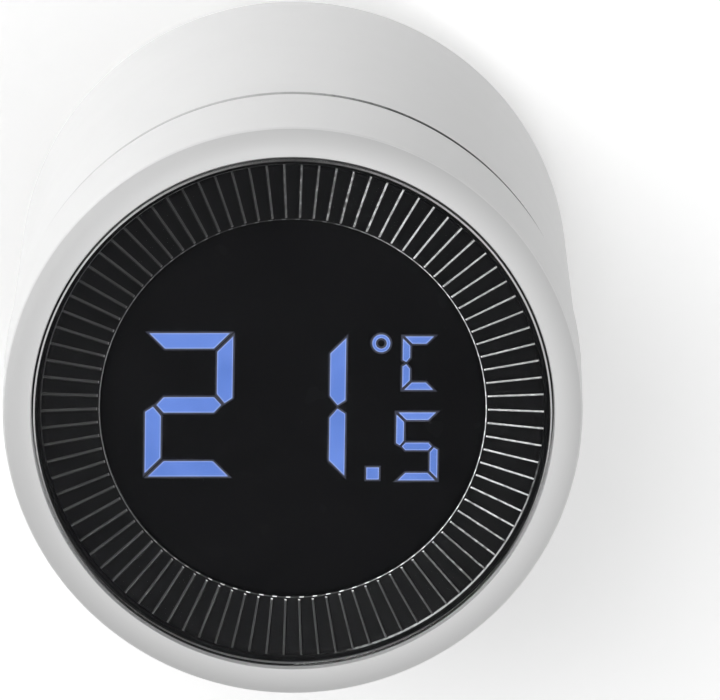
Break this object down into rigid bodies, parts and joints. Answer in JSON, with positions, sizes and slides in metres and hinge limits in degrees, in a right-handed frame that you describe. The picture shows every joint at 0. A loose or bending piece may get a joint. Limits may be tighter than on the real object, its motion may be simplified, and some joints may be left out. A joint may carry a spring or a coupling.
{
  "type": "thermostatic radiator valve head",
  "caption": "Round electronic radiator thermostat head with a turning dial ring, a black glazed display and a threaded coupling nut that drives a valve pin.",
  "frame": {"origin": "centre of the coupling nut's open end face, which the head stands on", "axes": "+Z along the valve axis from the nut to the display, +Y to the top of the display, +X to its right"},
  "size_m": [0.056, 0.056, 0.0874],
  "materials": {
    "white_shell": "fine satin moulded ABS",
    "black_plastic": "black moulded plastic",
    "clear_lens": "clear polished acrylic window",
    "frame_plastic": "dark grey moulded plastic",
    "gear_plastic": "natural acetal",
    "steel": "bright steel",
    "nickel_contact": "nickel-plated spring steel",
    "brass_pinion": "bright brass",
    "board": "green solder-masked circuit board",
    "cell_jacket": "plain dark jacket on a steel can",
    "nickel_nut": "satin nickel plate on brass"
  },
  "bodies": {
    "housing": {"body_shell": "white_shell", "ribbed_bezel": "black_plastic", "display_window": "black_plastic", "display_frame": "black_plastic", "led_display": "black_plastic", "encoder_body": "black_plastic", "front_lens": "clear_lens", "inner_frame": "frame_plastic", "front_frame": "frame_plastic", "lower_gear_plate": "frame_plastic", "upper_gear_plate": "frame_plastic", "gear_pillar_1": "frame_plastic", "gear_pillar_2": "frame_plastic", "gear_pillar_3": "frame_plastic", "base_collar": "frame_plastic", "thrust_plate": "steel", "thrust_washer": "steel", "first_axle": "steel", "second_axle": "steel", "motor": "steel", "retaining_clip": "steel", "base_screw_1": "steel", "base_screw_2": "steel", "base_screw_3": "steel", "front_screw_1": "steel", "front_screw_2": "steel", "front_screw_3": "steel", "gear_screw_1": "steel", "gear_screw_2": "steel", "gear_screw_3": "steel", "bridge_contact": "nickel_contact", "positive_contact": "nickel_contact", "negative_contact": "nickel_contact", "lower_spring": "nickel_contact", "upper_spring": "nickel_contact", "display_board": "board", "battery_left": "cell_jacket", "battery_right": "cell_jacket"},
    "dial": {"dial_ring": "white_shell", "dial_gear": "gear_plastic"},
    "encoder_wheel": {"encoder_gear": "gear_plastic"},
    "cover": {"battery_cover": "white_shell"},
    "nut": {"coupling_nut": "nickel_nut"},
    "drive": {"drive_gear": "gear_plastic"},
    "pusher": {"plunger": "steel"},
    "gear_three": {"third_gear": "gear_plastic"},
    "gear_two": {"second_gear": "gear_plastic"},
    "gear_one": {"first_gear": "gear_plastic"},
    "rotor": {"motor_pinion": "brass_pinion", "motor_shaft": "steel"}
  },
  "joints": [
    {"name": "dial_turn", "type": "hinge", "parent": "housing", "child": "dial", "pos_m": [0, 0, 0.0785], "axis": [0, 0, 1], "continuous": true},
    {"name": "encoder_turn", "type": "hinge", "parent": "housing", "child": "encoder_wheel", "pos_m": [0.01663, 0.0096, 0.0771], "axis": [0, 0, 1], "continuous": true},
    {"name": "nut_turn", "type": "hinge", "parent": "housing", "child": "nut", "pos_m": [0, 0, 0.008], "axis": [0, 0, 1], "continuous": true},
    {"name": "cover_lift", "type": "slide", "parent": "housing", "child": "cover", "axis": [0, -1, 0], "range_m": [0, 0.02]},
    {"name": "drive_turn", "type": "hinge", "parent": "housing", "child": "drive", "pos_m": [0, 0, 0.0275], "axis": [0, 0, 1], "range_deg": [0, 1080]},
    {"name": "pusher_travel", "type": "slide", "parent": "housing", "child": "pusher", "axis": [0, 0, -1], "range_m": [0, 0.0045]},
    {"name": "gear_three_turn", "type": "hinge", "parent": "housing", "child": "gear_three", "pos_m": [-0.00646, 0.00827, 0.033], "axis": [0, 0, 1], "range_deg": [-3456, 0]},
    {"name": "gear_two_turn", "type": "hinge", "parent": "housing", "child": "gear_two", "pos_m": [-0.01492, 0.0052, 0.036], "axis": [0, 0, 1], "range_deg": [0, 13824]},
    {"name": "gear_one_turn", "type": "hinge", "parent": "housing", "child": "gear_one", "pos_m": [-0.00646, 0.00827, 0.038], "axis": [0, 0, 1], "range_deg": [-55296, 0]},
    {"name": "rotor_turn", "type": "hinge", "parent": "housing", "child": "rotor", "pos_m": [-0.00068, 0.01517, 0.0385], "axis": [0, 0, 1], "range_deg": [0, 221184]}
  ],
  "couplings": [
    {"joint": "encoder_turn", "follows": "dial_turn", "ratio": 5},
    {"joint": "drive_turn", "follows": "pusher_travel", "rad_per_m": 4188.8},
    {"joint": "gear_three_turn", "follows": "pusher_travel", "rad_per_m": -13404},
    {"joint": "gear_two_turn", "follows": "pusher_travel", "rad_per_m": 53617},
    {"joint": "gear_one_turn", "follows": "pusher_travel", "rad_per_m": -214470},
    {"joint": "rotor_turn", "follows": "pusher_travel", "rad_per_m": 857860}
  ]
}
